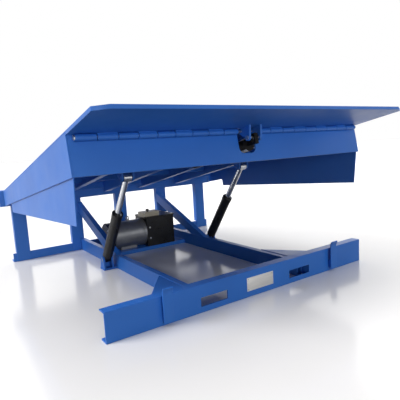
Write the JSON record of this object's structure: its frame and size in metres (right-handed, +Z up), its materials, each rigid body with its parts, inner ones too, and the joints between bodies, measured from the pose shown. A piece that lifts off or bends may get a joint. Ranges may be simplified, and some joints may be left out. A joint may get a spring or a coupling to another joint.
{
  "type": "dock leveler",
  "caption": "Hydraulic dock leveler: sloping steel deck hinged on a welded base frame, with a swinging front lip, lift cylinders and a power unit.",
  "frame": {"origin": "middle of the footprint on the floor, at the middle of the whole length", "axes": "+Y to the rear, towards the dock wall, -Y to the lip, +X to the right seen from the front, +Z up"},
  "size_m": [2.06, 2.2668, 1.0252],
  "materials": {
    "blue_paint": "gloss",
    "black_paint": "satin",
    "chromed_rod": "polished",
    "pin_steel": "turned",
    "motor_casting": "painted cast housing",
    "valve_metal": "machined",
    "black_plastic": "matte"
  },
  "bodies": {
    "frame": {"front_beam": "blue_paint", "lip_keeper_left": "blue_paint", "lip_keeper_right": "blue_paint", "base_rail_left": "blue_paint", "base_rail_right": "blue_paint", "corner_gusset_left": "blue_paint", "corner_gusset_right": "blue_paint", "unit_tray": "blue_paint", "rear_base_angle": "blue_paint", "rear_post_1": "blue_paint", "rear_post_2": "blue_paint", "rear_post_3": "blue_paint", "rear_post_4": "blue_paint", "rear_post_5": "blue_paint", "rear_top_beam": "blue_paint", "brace_left": "blue_paint", "brace_right": "blue_paint", "rear_hinge_lugs": "blue_paint", "cylinder_foot_left": "blue_paint", "cylinder_foot_right": "blue_paint", "oil_tank": "black_paint", "pump_motor": "motor_casting", "motor_cap": "black_paint", "valve_block": "valve_metal", "valve_knob": "black_plastic"},
    "deck": {"deck_plate": "blue_paint", "deck_beam_1": "blue_paint", "deck_beam_2": "blue_paint", "deck_beam_3": "blue_paint", "deck_beam_4": "blue_paint", "deck_cross_bars": "blue_paint", "lift_bracket_left": "blue_paint", "lift_bracket_right": "blue_paint", "front_header": "blue_paint", "side_skirt_left": "blue_paint", "side_skirt_right": "blue_paint", "toe_guard_left": "blue_paint", "toe_guard_right": "blue_paint", "deck_hinge_lugs": "blue_paint", "deck_knuckles": "blue_paint", "lip_hinge_pin": "pin_steel", "lip_cylinder_barrel": "black_paint", "lip_cylinder_mount": "blue_paint"},
    "lip": {"lip_plate": "blue_paint", "lip_knuckles": "blue_paint", "lip_lugs": "blue_paint", "lip_drive_pin": "pin_steel"},
    "lift_barrel_left": {"lift_barrel_left": "black_paint"},
    "lift_barrel_right": {"lift_barrel_right": "black_paint"},
    "lift_rod_left": {"lift_rod_left": "chromed_rod"},
    "lift_rod_right": {"lift_rod_right": "chromed_rod"},
    "lip_rod": {"lip_rod": "chromed_rod", "lip_rod_head": "black_paint"}
  },
  "joints": [
    {"name": "deck_tilt", "type": "hinge", "parent": "frame", "child": "deck", "pos_m": [0, 1.00041, 0.561], "axis": [1, 0, 0], "range_deg": [0, 11.4]},
    {"name": "lip_swing", "type": "hinge", "parent": "deck", "child": "lip", "pos_m": [0, -0.79152, 0.92232], "axis": [1, 0, 0], "range_deg": [0, 90]},
    {"name": "lift_left_pivot", "type": "hinge", "parent": "frame", "child": "lift_barrel_left", "pos_m": [-0.469, 0.29041, 0.075], "axis": [1, 0, 0], "range_deg": [0, 13.76]},
    {"name": "lift_left_slide", "type": "slide", "parent": "lift_barrel_left", "child": "lift_rod_left", "axis": [0, 0.6015, -0.7989], "range_m": [0, 0.16882]},
    {"name": "lift_right_pivot", "type": "hinge", "parent": "frame", "child": "lift_barrel_right", "pos_m": [0.469, 0.29041, 0.075], "axis": [1, 0, 0], "range_deg": [0, 13.76]},
    {"name": "lift_right_slide", "type": "slide", "parent": "lift_barrel_right", "child": "lift_rod_right", "axis": [0, 0.6015, -0.7989], "range_m": [0, 0.16882]},
    {"name": "lip_rod_slide", "type": "slide", "parent": "deck", "child": "lip_rod", "axis": [0, 0.9803, -0.1977], "range_m": [0, 0.0902]}
  ],
  "couplings": [
    {"joint": "lift_left_pivot", "follows": "deck_tilt", "ratio": 1.2052},
    {"joint": "lift_left_slide", "follows": "deck_tilt", "m_per_rad": 0.84749},
    {"joint": "lift_right_pivot", "follows": "deck_tilt", "ratio": 1.2052},
    {"joint": "lift_right_slide", "follows": "deck_tilt", "m_per_rad": 0.84749},
    {"joint": "lip_rod_slide", "follows": "lip_swing", "m_per_rad": 0.057296}
  ]
}
